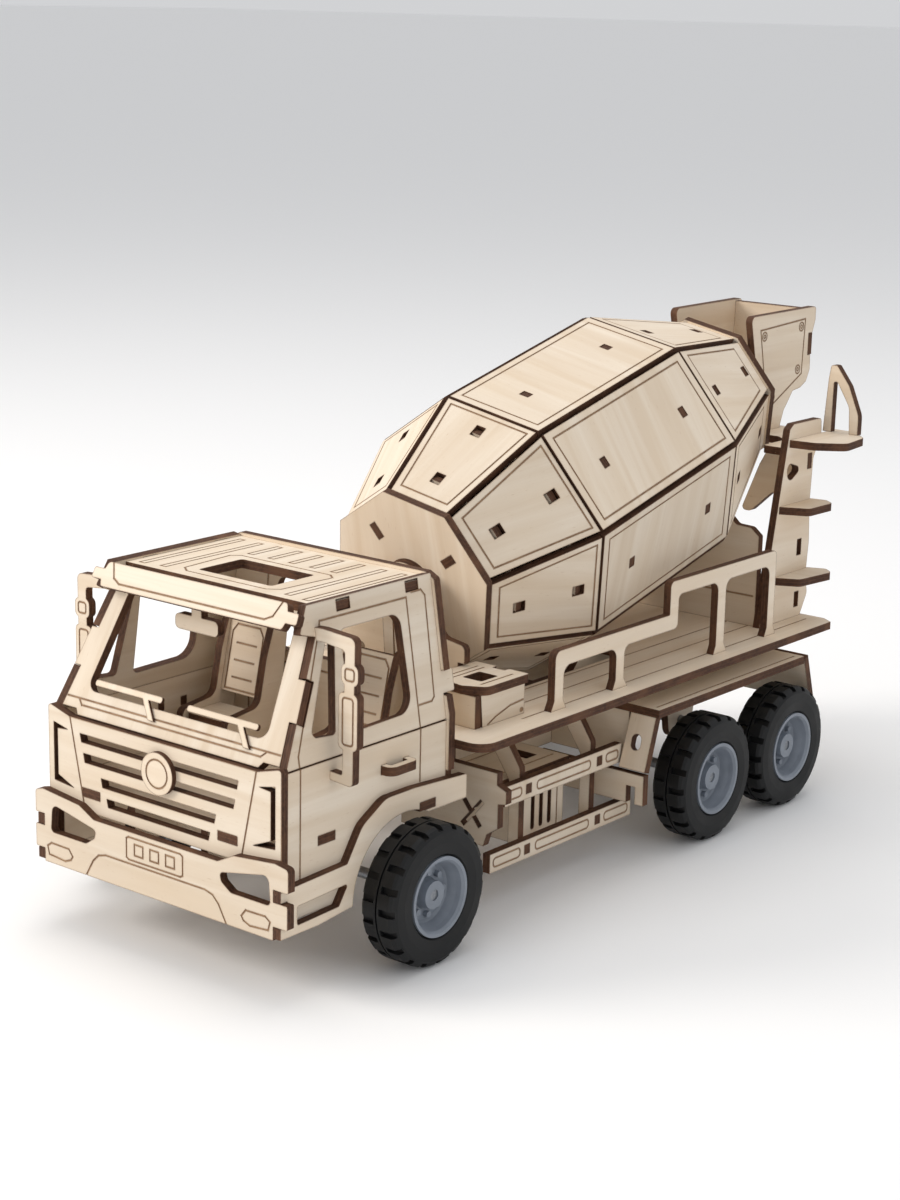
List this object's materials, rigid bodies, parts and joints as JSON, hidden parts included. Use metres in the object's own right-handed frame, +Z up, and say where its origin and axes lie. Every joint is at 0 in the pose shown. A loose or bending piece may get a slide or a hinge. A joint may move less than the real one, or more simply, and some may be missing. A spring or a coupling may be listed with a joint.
{
  "type": "wooden mixer truck puzzle model",
  "caption": "Laser-cut plywood construction model of a cab-over mixer truck with a turning faceted drum, rear hopper and rolling axles.",
  "frame": {"origin": "middle of the footprint on the ground, between bumper and hopper", "axes": "+Y runs from the cab to the hopper, +Z up, +X is the side with the ladder and the deck box"},
  "size_m": [0.1878, 0.478, 0.2478],
  "materials": {
    "plywood": "matt",
    "dowel": "matt",
    "axle_steel": "satin",
    "tyre": "matt",
    "rim_plastic": "satin"
  },
  "bodies": {
    "chassis": {"cab_lower_sides": "plywood", "cab_upper_sides": "plywood", "cab_rear_wall": "plywood", "cab_roof": "plywood", "cab_floor": "plywood", "windscreen_frame": "plywood", "sun_visor": "plywood", "grille_panel": "plywood", "grille_badge": "plywood", "bumper": "plywood", "fender_overlays": "plywood", "door_handles": "plywood", "side_mirrors": "plywood", "wipers": "plywood", "interior_mirror": "plywood", "seat_backs": "plywood", "seat_sides": "plywood", "seat_cushions": "plywood", "deck": "plywood", "side_rails": "plywood", "deck_box_walls": "plywood", "deck_box_lid": "plywood", "drum_stand": "plywood", "rear_towers": "plywood", "rear_saddle": "plywood", "rear_yoke": "plywood", "hopper_shelf": "plywood", "ladder_treads": "plywood", "ladder_handrail": "plywood", "hopper_sides": "plywood", "hopper_rear_wall": "plywood", "hopper_floor": "plywood", "hopper_front_wall": "plywood", "chassis_rails": "plywood", "chassis_crossmembers": "plywood", "guard_upper_bars": "plywood", "guard_lower_bars": "plywood", "guard_struts": "plywood", "battery_box": "plywood", "tool_box": "plywood", "mudguard_shelves": "plywood", "mudguard_flaps": "plywood"},
    "drum": {"drum_front_plate": "plywood", "drum_rear_plate": "plywood", "drum_rings": "plywood", "drum_front_panels": "plywood", "drum_mid_panels": "plywood", "drum_rear_panels": "plywood", "drum_ribs": "plywood", "drum_boss": "plywood", "drum_shaft": "dowel"},
    "front_axle_set": {"front_axle": "axle_steel", "front_rims": "rim_plastic", "front_tyres": "tyre"},
    "middle_axle_set": {"middle_axle": "axle_steel", "middle_rims": "rim_plastic", "middle_tyres": "tyre"},
    "rear_axle_set": {"rear_axle": "axle_steel", "rear_rims": "rim_plastic", "rear_tyres": "tyre"}
  },
  "joints": [
    {"name": "drum_spin", "type": "hinge", "parent": "chassis", "child": "drum", "pos_m": [0, -0.0153, 0.1511], "axis": [0, 0.9694, 0.2453], "continuous": true},
    {"name": "front_axle_spin", "type": "hinge", "parent": "chassis", "child": "front_axle_set", "pos_m": [0, -0.161, 0.0315], "axis": [1, 0, 0], "continuous": true},
    {"name": "middle_axle_spin", "type": "hinge", "parent": "chassis", "child": "middle_axle_set", "pos_m": [0, 0.0549, 0.0315], "axis": [1, 0, 0], "continuous": true},
    {"name": "rear_axle_spin", "type": "hinge", "parent": "chassis", "child": "rear_axle_set", "pos_m": [0, 0.1253, 0.0315], "axis": [1, 0, 0], "continuous": true}
  ]
}
